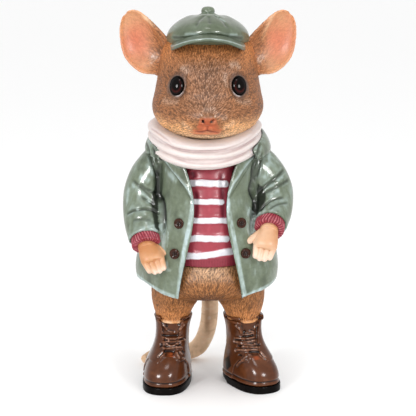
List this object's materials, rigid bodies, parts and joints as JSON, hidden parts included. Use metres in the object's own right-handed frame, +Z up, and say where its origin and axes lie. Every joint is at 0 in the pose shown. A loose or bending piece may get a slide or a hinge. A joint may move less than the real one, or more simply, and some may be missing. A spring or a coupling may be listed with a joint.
{
  "type": "mouse figurine",
  "caption": "Standing mouse ornament in flat cap, scarf, striped jersey, open coat and lace-up boots, cast in glued pieces.",
  "frame": {"origin": "on the surface it stands on, under the middle of its bounding box", "axes": "+Z up, -Y the way it faces, +X towards its own left hand"},
  "size_m": [0.0996, 0.0944, 0.2181],
  "materials": {
    "fur": "hand-painted cast resin, carved fur, satin varnish",
    "ear_skin": "hand-painted cast resin, satin",
    "eye_gloss": "glossy black enamel",
    "green_cloth_paint": "painted cast resin, dry-brushed, glossy varnish",
    "button_brown": "glossy dark brown",
    "scarf_paint": "painted cast resin, satin",
    "jersey_red": "painted cast resin, satin varnish",
    "jersey_white": "white paint",
    "hand_skin": "painted cast resin, satin",
    "tail_skin": "painted cast resin, satin",
    "steel": "plain steel rod",
    "boot_brown": "painted cast resin, glossy varnish",
    "sole_black": "glossy black paint"
  },
  "bodies": {
    "root": {"boot_left_laces": "boot_brown", "boot_left_quarters": "boot_brown", "boot_left_sole": "sole_black", "boot_left_tongue": "boot_brown", "boot_left_upper": "boot_brown", "boot_right_laces": "boot_brown", "boot_right_quarters": "boot_brown", "boot_right_sole": "sole_black", "boot_right_tongue": "boot_brown", "boot_right_upper": "boot_brown", "cap_button": "green_cloth_paint", "cap_crown": "green_cloth_paint", "cap_peak": "green_cloth_paint", "coat_body": "green_cloth_paint", "coat_button_left_1": "button_brown", "coat_button_left_2": "button_brown", "coat_button_right_1": "button_brown", "coat_button_right_2": "button_brown", "coat_collar": "green_cloth_paint", "cuff_left": "jersey_red", "cuff_right": "jersey_red", "ear_left": "ear_skin", "ear_right": "ear_skin", "eye_left": "eye_gloss", "eye_right": "eye_gloss", "hand_left": "hand_skin", "hand_right": "hand_skin", "head": "fur", "lapel_left": "green_cloth_paint", "lapel_right": "green_cloth_paint", "leg_pin_left": "steel", "leg_pin_right": "steel", "lower_body": "fur", "scarf_lower_wrap": "scarf_paint", "scarf_upper_wrap": "scarf_paint", "sleeve_left": "green_cloth_paint", "sleeve_right": "green_cloth_paint", "sweater_stripes": "jersey_white", "sweater_torso": "jersey_red", "tail": "tail_skin", "tail_core_wire": "steel"}
  },
  "joints": []
}
